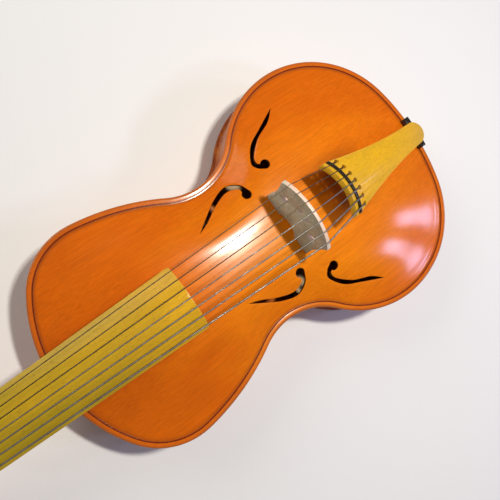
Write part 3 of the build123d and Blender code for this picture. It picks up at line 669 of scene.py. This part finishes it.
def outlineArcs():
    x, y, heading = 0.0, 0.0, 0.0
    arcs = []
    for radiusMm, turn in body["bouts"]:
        radius = radiusMm * mm
        centre = (x - radius * math.sin(heading), y + radius * math.cos(heading))
        end = heading + math.copysign(math.radians(turn), radius)
        arcs.append((centre, radius, heading, end))
        x = centre[0] + radius * math.sin(end)
        y = centre[1] - radius * math.cos(end)
        heading = end
    radius = x / math.sin(heading)
    centre = (x - radius * math.sin(heading), y + radius * math.cos(heading))
    arcs.append((centre, radius, heading, math.pi))
    return arcs


bodyArcs = outlineArcs()
bodyLength = bodyArcs[-1][0][1] + bodyArcs[-1][1]


def outlineRing(inset):
    # the closed outline, inset all round, as (x, distance from the tail end)
    half = []
    for centre, radius, start, end in bodyArcs:
        steps = max(2, round(abs(radius) * abs(end - start) / body["step"]))
        for step in range(steps):
            heading = start + (end - start) * step / steps
            reach = radius - inset
            half.append((centre[0] + reach * math.sin(heading), centre[1] - reach * math.cos(heading)))
    top = (0.0, bodyLength - inset)
    return half + [top] + [(-x, along) for x, along in reversed(half[1:])]


def halfWidth(along):
    for centre, radius, start, end in bodyArcs:
        cosine = (centre[1] - along) / radius
        if abs(cosine) > 1:
            continue
        heading = math.acos(cosine)
        if min(start, end) - 1e-6 <= heading <= max(start, end) + 1e-6:
            return centre[0] + radius * math.sin(heading)
    return 0.0


def bell(share):
    return 0.5 * (1 + math.cos(math.pi * min(1.0, share)))


def archRise(x, along):
    reach = halfWidth(along) - body["border"]
    if reach <= 0.001 or abs(x) >= reach:
        return 0.0
    endways = abs(2 * along / bodyLength - 1) * bodyLength / (bodyLength - 2 * body["border"])
    return body["archHeight"] * bell((abs(x) / reach) ** body["fullness"]) * bell(endways**2.2)


soundboard = {
    # distances in from the edge of the rings that carry the rounded rim and its channel
    "rings": [0.0, 0.08, 0.3, 0.65, 1.1, 1.6, 2.3, 3.2, 4.2, 5.2, 6.2, 7.4, 8.8, 10.4, 12.2],
    "rim": 1.6,
    "channelPlace": 7.0,
    "channelWidth": 2.4,
    "channelDepth": 0.55,
    "grid": 2.4,
    "holeEase": 0.4,  # width of the rounding on the holes' edges
    "eyePoints": 26,
    # each hole: its outer side, its inner side, and its eye as (x, along, radius), in mm
    "holes": [
        (
            [(42.2, 176.1), (51.5, 180.3), (56.9, 191.0), (52.5, 206.0), (43.3, 221.7), (35.3, 234.2)],
            [(35.3, 234.2), (39.7, 222.5), (47.5, 207.5), (52.0, 193.0), (48.8, 183.3), (44.6, 182.2)],
            (41.0, 180.2, 4.3),
        ),
        (
            [(50.3, 153.4), (54.0, 158.3), (61.0, 160.2), (74.2, 150.2), (82.8, 134.0), (93.0, 113.0)],
            [(93.0, 113.0), (83.3, 124.5), (76.0, 140.8), (65.0, 153.8), (58.5, 156.2), (56.0, 154.2)],
            (53.7, 150.8, 4.3),
        ),
    ],
}


def throughPoints(points, steps):
    # an even curve through a few points
    ends = [2 * Vector(points[0]) - Vector(points[1])]
    chain = ends + [Vector(p) for p in points] + [2 * Vector(points[-1]) - Vector(points[-2])]
    line = []
    for a, b, c, d in zip(chain, chain[1:], chain[2:], chain[3:]):
        for step in range(steps):
            t = step / steps
            bow = 2 * a - 5 * b + 4 * c - d
            twist = 3 * b - a - 3 * c + d
            line.append(0.5 * (2 * b + (c - a) * t + bow * t * t + twist * t**3))
    return line


def holeLoops(side):
    loops = []
    for outer, inner, eye in soundboard["holes"]:
        blade = throughPoints(outer, 12) + throughPoints(inner, 12) + [Vector(inner[-1])]
        count = soundboard["eyePoints"]
        circle = []
        for i in range(count):
            turn = math.tau * i / count
            circle.append(Vector((eye[0] + eye[2] * math.cos(turn), eye[1] + eye[2] * math.sin(turn))))
        for loop in (blade, circle):
            loops.append([(side * p.x * mm, p.y * mm) for p in loop])
    return loops


def insideLoop(x, y, loop):
    inside = False
    for (ax, ay), (bx, by) in zip(loop, loop[1:] + loop[:1]):
        if (ay > y) != (by > y) and x < (bx - ax) * (y - ay) / (by - ay) + ax:
            inside = not inside
    return inside


def nearLoop(x, y, loop, reach):
    return any(abs(x - px) < reach and abs(y - py) < reach for px, py in loop)


def flatBoard():
    # the board's plan as a mesh: rings at the rim, a fine grid within, and the four holes left open
    rings = [outlineRing(inset * mm) for inset in soundboard["rings"]]
    count = len(rings[0])
    points = [p for ring in rings for p in ring]
    insets = [inset * mm for inset in soundboard["rings"] for _ in range(count)]
    faces = []
    for ring in range(len(rings) - 1):
        for i in range(count):
            j = (i + 1) % count
            low, high = ring * count, (ring + 1) * count
            faces.append((low + i, low + j, high + j, high + i))
    inner = rings[-1]
    innerStart = (len(rings) - 1) * count
    loops = holeLoops(1) + holeLoops(-1)
    seeds = [Vector(p) for p in inner]
    edges = [(i, (i + 1) % count) for i in range(count)]
    for loop in loops:
        start = len(seeds)
        seeds += [Vector(p) for p in loop]
        edges += [(start + i, start + (i + 1) % len(loop)) for i in range(len(loop))]
    step = soundboard["grid"] * mm
    rows = int(bodyLength / (step * 0.866))
    margin = soundboard["rings"][-1] * mm
    for row in range(rows):
        along = row * step * 0.866
        reach = halfWidth(along) - margin
        if reach <= step:
            continue
        columns = int(reach / step) + 1
        for column in range(-columns, columns + 1):
            x = (column + 0.5 * (row % 2)) * step
            if not insideLoop(x, along, inner) or nearLoop(x, along, inner, step * 0.6):
                continue
            if any(nearLoop(x, along, loop, step * 0.55) for loop in loops):
                continue
            seeds.append(Vector((x, along)))
    places, _, triangles, origins, _, _ = delaunay_2d_cdt(seeds, edges, [], 0, 1e-7)
    numbers = []
    for place, origin in zip(places, origins):
        ringPoint = [o for o in origin if o < count]
        if ringPoint:
            numbers.append(innerStart + ringPoint[0])
        else:
            numbers.append(len(points))
            points.append((place.x, place.y))
            insets.append(margin)
    for triangle in triangles:
        x = sum(places[i].x for i in triangle) / 3
        y = sum(places[i].y for i in triangle) / 3
        if insideLoop(x, y, inner) and not any(insideLoop(x, y, loop) for loop in loops):
            faces.append(tuple(numbers[i] for i in triangle))
    return points, insets, faces


def boardSlab():
    # the plan twice, joined by walls round the outside and in the holes
    points, insets, faces = flatBoard()
    count = len(points)
    seen = {}
    for face in faces:
        for a, b in zip(face, face[1:] + face[:1]):
            seen[(a, b)] = True
    walls = [(b, a, a + count, b + count) for a, b in seen if (b, a) not in seen]
    y0 = body["tailEdge"]
    vertices = [(x, y0 + along, 0.0) for x, along in points] * 2
    under = [tuple(i + count for i in reversed(face)) for face in faces]
    made = meshObject("soundboard_carved", vertices, [], faces + under + walls)
    reach = [max(0.0, halfWidth(along) - body["border"]) for _, along in points] * 2
    upper = [1.0] * count + [0.0] * count
    for name, values in (("inset", insets * 2), ("reach", reach), ("upper", upper)):
        layer = made.data.attributes.new(name, "FLOAT", "POINT")
        layer.data.foreach_set("value", values)
    outside = set(range(len(outlineRing(0))))
    wall = made.data.attributes.new("wall", "FLOAT", "FACE")
    marks = [0.0] * (2 * len(faces)) + [0.0 if w[0] in outside else 1.0 for w in walls]
    wall.data.foreach_set("value", marks)
    return made


def finishTree(tree, shape, finish, out):
    real = addNode(tree, "GeometryNodeRealizeInstances", {"Geometry": shape})
    inputs = {"Geometry": real.outputs[0], "Material": finish}
    painted = addNode(tree, "GeometryNodeSetMaterial", inputs)
    tree.links.new(painted.outputs[0], out["Geometry"])


def archTree():
    # lifts the flat slab into the arched board by rule
    tree, given, out = newGeometryTree("arch the board", [
        ("Tail Edge", "NodeSocketFloat", 0.0),
        ("Length", "NodeSocketFloat", 0.4),
        ("Border", "NodeSocketFloat", 0.004),
        ("Arch Height", "NodeSocketFloat", 0.014),
        ("Fullness", "NodeSocketFloat", 1.9),
        ("Edge Height", "NodeSocketFloat", 0.06),
        ("Thickness", "NodeSocketFloat", 0.0036),
        ("Rim Radius", "NodeSocketFloat", 0.0016),
        ("Channel Place", "NodeSocketFloat", 0.007),
        ("Channel Width", "NodeSocketFloat", 0.0024),
        ("Channel Depth", "NodeSocketFloat", 0.0005),
        ("Finish", "NodeSocketMaterial", None),
    ])

    def attribute(name):
        return addNode(tree, "GeometryNodeInputNamedAttribute", {"Name": name}).outputs["Attribute"]

    def bellOf(share):
        turned = calc(tree, "COSINE", times(tree, calc(tree, "MINIMUM", share, 1.0), math.pi))
        return times(tree, calc(tree, "ADD", turned, 1.0), 0.5)

    place = axesOf(tree, addNode(tree, "GeometryNodeInputPosition").outputs[0])
    reach, inset, upper = attribute("reach"), attribute("inset"), attribute("upper")
    share = calc(tree, "DIVIDE", calc(tree, "ABSOLUTE", place["X"]), calc(tree, "MAXIMUM", reach, 0.001))
    across = bellOf(calc(tree, "POWER", share, given["Fullness"]))
    along = calc(tree, "SUBTRACT", place["Y"], given["Tail Edge"])
    doubled = calc(tree, "DIVIDE", times(tree, along, 2.0), given["Length"])
    middle = calc(tree, "SUBTRACT", doubled, 1.0)
    arched = calc(tree, "SUBTRACT", given["Length"], times(tree, given["Border"], 2.0))
    longer = calc(tree, "DIVIDE", given["Length"], arched)
    endways = times(tree, calc(tree, "ABSOLUTE", middle), longer)
    lengthwise = bellOf(calc(tree, "POWER", endways, 2.2))
    rise = times(tree, times(tree, across, lengthwise), given["Arch Height"])
    # rounded rim, above and below
    short = calc(tree, "MAXIMUM", calc(tree, "SUBTRACT", given["Rim Radius"], inset), 0.0)
    square = times(tree, given["Rim Radius"], given["Rim Radius"])
    leftSquare = calc(tree, "SUBTRACT", square, times(tree, short, short))
    left = calc(tree, "SQRT", calc(tree, "MAXIMUM", leftSquare, 0.0))
    rim = calc(tree, "SUBTRACT", given["Rim Radius"], left)
    # the shallow channel just inside the inlaid line
    fromChannel = calc(tree, "SUBTRACT", inset, given["Channel Place"])
    off = calc(tree, "DIVIDE", fromChannel, given["Channel Width"])
    hollow = calc(tree, "EXPONENT", times(tree, times(tree, off, off), -1.0))
    hollow = times(tree, hollow, given["Channel Depth"])
    topHeight = calc(tree, "SUBTRACT", calc(tree, "SUBTRACT", rise, rim), hollow)
    lowHeight = calc(tree, "SUBTRACT", calc(tree, "ADD", rise, rim), given["Thickness"])
    upperPart = times(tree, topHeight, upper)
    lowerPart = times(tree, lowHeight, calc(tree, "SUBTRACT", 1.0, upper))
    height = calc(tree, "ADD", calc(tree, "ADD", upperPart, lowerPart), given["Edge Height"])
    offset = addNode(tree, "ShaderNodeCombineXYZ", {"Z": height}).outputs[0]
    moved = addNode(tree, "GeometryNodeSetPosition", {"Geometry": given["Geometry"], "Offset": offset})
    finishTree(tree, moved.outputs[0], given["Finish"], out)
    return tree


def makeSoundboard():
    made = boardSlab()
    growWith(made, archTree(), {
        "Tail Edge": body["tailEdge"],
        "Length": bodyLength,
        "Border": body["border"],
        "Arch Height": body["archHeight"],
        "Fullness": body["fullness"],
        "Edge Height": body["edgeHeight"],
        "Thickness": body["boardThickness"],
        "Rim Radius": soundboard["rim"] * mm,
        "Channel Place": soundboard["channelPlace"] * mm,
        "Channel Width": soundboard["channelWidth"] * mm,
        "Channel Depth": soundboard["channelDepth"] * mm,
        "Finish": finishes["spruce_top"],
    })
    bevel = made.modifiers.new("ease the holes", "BEVEL")
    bevel.width = soundboard["holeEase"] * mm
    bevel.segments = 2
    bevel.limit_method = "ANGLE"
    bevel.angle_limit = math.radians(60)
    settle(made)
    dress(made, "soundboard", 50.0)
    print("soundboard carved,", len(made.data.polygons), "faces")


makeSoundboard()


purfling = {
    "inset": 4.9,  # to the middle of the line
    "width": 1.4,
    "depth": 0.9,
    "proud": 0.05,
}


def ribbonTree():
    # a flat strip along a line, standing upright
    tree, given, out = newGeometryTree("inlay a strip", [
        ("Width", "NodeSocketFloat", 0.0014),
        ("Depth", "NodeSocketFloat", 0.001),
        ("Finish", "NodeSocketMaterial", None),
    ])
    curve = addNode(tree, "GeometryNodeMeshToCurve", {"Mesh": given["Geometry"]}).outputs[0]
    upright = addNode(tree, "GeometryNodeSetCurveNormal", {"Curve": curve}, mode="Z_UP").outputs[0]
    section = {"Width": given["Depth"], "Height": given["Width"]}
    profile = addNode(tree, "GeometryNodeCurvePrimitiveQuadrilateral", section)
    sweep = {"Curve": upright, "Profile Curve": profile.outputs[0], "Fill Caps": True}
    strip = addNode(tree, "GeometryNodeCurveToMesh", sweep)
    finishTree(tree, strip.outputs[0], given["Finish"], out)
    return tree


def makePurfling():
    ring = outlineRing(purfling["inset"] * mm)
    away = (purfling["inset"] - soundboard["channelPlace"]) / soundboard["channelWidth"]
    sunk = soundboard["channelDepth"] * math.exp(-away * away)
    drop = (purfling["depth"] / 2 + sunk - purfling["proud"]) * mm
    base = body["edgeHeight"] - drop
    line = [(x, body["tailEdge"] + along, base + archRise(x, along)) for x, along in ring]
    edges = [(i, (i + 1) % len(line)) for i in range(len(line))]
    made = meshObject("purfling_inlaid", line, edges, [])
    growWith(made, ribbonTree(), {
        "Width": purfling["width"] * mm, "Depth": purfling["depth"] * mm, "Finish": finishes["purfling"],
    })
    dress(made, "purfling", 60.0)
    print("purfling inlaid,", len(made.data.polygons), "faces")


makePurfling()


string = {
    "radii": [0.35, 0.4, 0.45, 0.5, 0.6, 0.65, 0.75],  # treble to bass
    "clearance": 0.05,
    "notch": 0.3,
    "knot": 2.1,
    "bend": 2.2,
    "bridge": (163.0, 130.0, 41.0, 27.4),  # along, top height, arc radius, half span
    "nut": (540.0, 61.1, 90.0, 19.3),
    "tailFront": (121.5, 117.0),
    "tailTip": (1.5, 74.5),
    "tail": (41.4, 21.2, 5.4),  # roof radius, half span, thickness
    "rest": (4.6, 1.7),  # place behind the front edge, and rise
    "keyhole": 13.0,
    "knotDrop": 4.4,
}
head = {
    "place": (545.0, 56.5),
    "tilt": 13.0,
    "firstPeg": 22.0,
    "step": 14.0,
    "depth": 10.0,
    "halves": (23.3, 14.5, 122.0),  # pegbox half width at the nut and at its end, and its length
    "pegRadii": (3.6, 4.4),
    # in order from the nut: string, side of the peg's head, winding's place across
    "pegs": [
        (0, 1, 13.2), (6, -1, -11.0), (1, 1, 9.6), (5, -1, -8.4),
        (2, 1, 5.2), (4, -1, -4.4), (3, 1, 0.4),
    ],
    "turns": 5,
}


def sagged(top, radius, x):
    return top - radius + math.sqrt(radius**2 - x**2)


def tailPoint(x, back, rise):
    # a point on the tailpiece: back from its front edge, and above its top line
    run = string["tailFront"][0] - string["tailTip"][0]
    slope = math.atan2(string["tailFront"][1] - string["tailTip"][1], run)
    along = string["tailFront"][0] - back * math.cos(slope) - rise * math.sin(slope)
    height = string["tailFront"][1] - back * math.sin(slope) + rise * math.cos(slope)
    return Vector((x * mm, body["tailEdge"] + along * mm, height * mm))


def headPoint(x, ahead, rise):
    # a point on the head: ahead from the nut along its tilted face, and above it
    tilt = math.radians(head["tilt"])
    along = head["place"][0] + ahead * math.cos(tilt) + rise * math.sin(tilt)
    height = head["place"][1] - ahead * math.sin(tilt) + rise * math.cos(tilt)
    return Vector((x * mm, body["tailEdge"] + along * mm, height * mm))


def pegRadius(order, x):
    start, end, length = head["halves"]
    half = start + (end - start) * (head["firstPeg"] + head["step"] * order) / length
    small, big = head["pegRadii"]
    return small + (big - small) * (head["pegs"][order][1] * x + half) / (2 * half)


def coilRadius(order):
    number, _, place = head["pegs"][order]
    return pegRadius(order, place) + 2 * string["radii"][number]


def stringRoute(number):
    thick = string["radii"][number]
    lift = thick + string["clearance"]
    share = 1 - 2 * number / (len(string["radii"]) - 1)
    roofRadius, tailHalf, tailThick = string["tail"]
    tailX = tailHalf * share
    roof = sagged(0, roofRadius, tailX)
    bridgeAlong, bridgeTop, bridgeRadius, bridgeHalf = string["bridge"]
    nutAlong, nutTop, nutRadius, nutHalf = string["nut"]
    bridgeX, nutX = bridgeHalf * share, nutHalf * share
    bridgeZ = sagged(bridgeTop, bridgeRadius, bridgeX) + lift - 2 * string["notch"]
    nutZ = sagged(nutTop, nutRadius, nutX) + lift - thick
    order = [peg[0] for peg in head["pegs"]].index(number)
    arrive = headPoint(
        head["pegs"][order][2],
        head["firstPeg"] + head["step"] * order,
        coilRadius(order) - thick - head["depth"],
    )
    y0 = body["tailEdge"]
    return [
        tailPoint(tailX, string["keyhole"] + 0.3, roof - tailThick - string["knotDrop"]),
        tailPoint(tailX, string["keyhole"] - 0.9, roof + lift),
        tailPoint(tailX, string["rest"][0], roof + string["rest"][1] + lift),
        Vector((bridgeX * mm, y0 + bridgeAlong * mm, bridgeZ * mm)),
        Vector((nutX * mm, y0 + (nutAlong + 0.5) * mm, nutZ * mm)),
        Vector((nutX * mm, y0 + (head["place"][0] - 0.6) * mm, (nutZ - 1.0) * mm)),
        arrive,
    ]


def stringTree():
    # a round string along a bent line, its bends eased, with a knot at its tail end
    tree, given, out = newGeometryTree("string", [
        ("Radius", "NodeSocketFloat", 0.0005),
        ("Bend", "NodeSocketFloat", 0.002),
        ("Knot", "NodeSocketFloat", 0.002),
        ("Knot Place", "NodeSocketVector", None),
        ("Finish", "NodeSocketMaterial", None),
    ])
    curve = addNode(tree, "GeometryNodeMeshToCurve", {"Mesh": given["Geometry"]}).outputs[0]
    eased = addNode(tree, "GeometryNodeFilletCurve", {"Curve": curve, "Radius": given["Bend"]}, mode="POLY")
    eased.inputs["Count"].default_value = 6
    eased.inputs["Limit Radius"].default_value = True
    section = {"Resolution": 12, "Radius": given["Radius"]}
    profile = addNode(tree, "GeometryNodeCurvePrimitiveCircle", section)
    tube = addNode(tree, "GeometryNodeCurveToMesh",
                   {"Curve": eased.outputs[0], "Profile Curve": profile.outputs[0], "Fill Caps": True})
    ball = addNode(tree, "GeometryNodeMeshIcoSphere", {"Radius": given["Knot"], "Subdivisions": 3})
    lumpy = noise(tree, addNode(tree, "GeometryNodeInputPosition").outputs[0], 900.0, 1.0)
    normal = addNode(tree, "GeometryNodeInputNormal").outputs[0]
    swell = addNode(tree, "ShaderNodeVectorMath", {0: normal}, operation="SCALE")
    tree.links.new(spread(tree, lumpy, 0.3, 0.7, -0.0007, 0.0), swell.inputs["Scale"])
    swollen = {"Geometry": ball.outputs[0], "Offset": swell.outputs[0]}
    knot = addNode(tree, "GeometryNodeSetPosition", swollen)
    moved = {"Geometry": knot.outputs[0], "Translation": given["Knot Place"]}
    tied = addNode(tree, "GeometryNodeTransform", moved)
    both = addNode(tree, "GeometryNodeJoinGeometry")
    tree.links.new(tied.outputs[0], both.inputs[0])
    tree.links.new(tube.outputs[0], both.inputs[0])
    finishTree(tree, both.outputs[0], given["Finish"], out)
    return tree


def windingTree():
    # turns of string lying side by side on a peg
    tree, given, out = newGeometryTree("winding", [
        ("Turns", "NodeSocketFloat", 5.0),
        ("Coil Radius", "NodeSocketFloat", 0.004),
        ("String Radius", "NodeSocketFloat", 0.0005),
        ("Centre", "NodeSocketVector", None),
        ("Finish", "NodeSocketMaterial", None),
    ])
    pitches = calc(tree, "SUBTRACT", given["Turns"], 1.0)
    width = times(tree, times(tree, given["String Radius"], 2.0), pitches)
    coil = addNode(tree, "GeometryNodeCurveSpiral", {
        "Resolution": 40, "Rotations": pitches, "Start Radius": given["Coil Radius"],
        "End Radius": given["Coil Radius"], "Height": width,
    })
    half = times(tree, width, -0.5)
    shift = addNode(tree, "ShaderNodeCombineXYZ", {"Z": half}).outputs[0]
    centred = addNode(tree, "GeometryNodeTransform", {"Geometry": coil.outputs[0], "Translation": shift})
    turned = addNode(tree, "GeometryNodeTransform", {
        "Geometry": centred.outputs[0], "Rotation": (0, math.pi / 2, 0), "Translation": given["Centre"],
    })
    section = {"Resolution": 8, "Radius": given["String Radius"]}
    profile = addNode(tree, "GeometryNodeCurvePrimitiveCircle", section)
    tube = addNode(tree, "GeometryNodeCurveToMesh",
                   {"Curve": turned.outputs[0], "Profile Curve": profile.outputs[0], "Fill Caps": True})
    finishTree(tree, tube.outputs[0], given["Finish"], out)
    return tree


def makeStrings():
    tube, winding = stringTree(), windingTree()
    for number, thick in enumerate(string["radii"]):
        node = f"string_{number + 1}"
        route = stringRoute(number)
        made = meshObject(node + "_drawn", route, [(i, i + 1) for i in range(len(route) - 1)], [])
        growWith(made, tube, {
            "Radius": thick * mm, "Bend": string["bend"] * mm, "Knot": string["knot"] * mm,
            "Knot Place": route[0], "Finish": finishes[slots[node]],
        })
        dress(made, node, 60.0)
    for order, (number, side, place) in enumerate(head["pegs"]):
        node = f"string_{number + 1}_winding"
        thick = string["radii"][number]
        centre = headPoint(place, head["firstPeg"] + head["step"] * order, -head["depth"])
        made = meshObject(node + "_coil", [centre], [], [])
        growWith(made, winding, {
            "Turns": float(head["turns"]), "Coil Radius": (coilRadius(order) - thick) * mm,
            "String Radius": thick * mm, "Centre": centre, "Finish": finishes[slots[node]],
        })
        dress(made, node, 60.0)
    print("strings drawn and wound")


makeStrings()


# widths of the rounding, in mm
eased = {
    "bridge": 0.35,
    "tailpiece": 0.45,
    "tailpiece_saddle": 0.3,
    "bottom_saddle": 0.25,
    "fingerboard": 0.5,
    "nut": 0.3,
    "back_plate": 1.2,
    "neck": 0.4,
    "pegbox": 0.6,
    "end_button": 0.3,
}
pegEase = 0.3
for node, width in eased.items():
    softened(node, width * mm)
for number in range(len(string["radii"])):
    softened(f"peg_{number + 1}", pegEase * mm)
print("edges eased on", len(eased) + len(string["radii"]), "pieces")

for node, made in cadNodes.items():
    made.data.materials.clear()
    made.data.materials.append(finishes[slots[node]])


floor = {"half": 4.0, "drop": 0.0004}


def makeFloor():
    half, low = floor["half"], -floor["drop"]
    corners = [(-half, -half, low), (half, -half, low), (half, half, low), (-half, half, low)]
    made = meshObject("floor", corners, [], [(0, 1, 2, 3)])
    made.data.materials.append(floorPaper())


makeFloor()
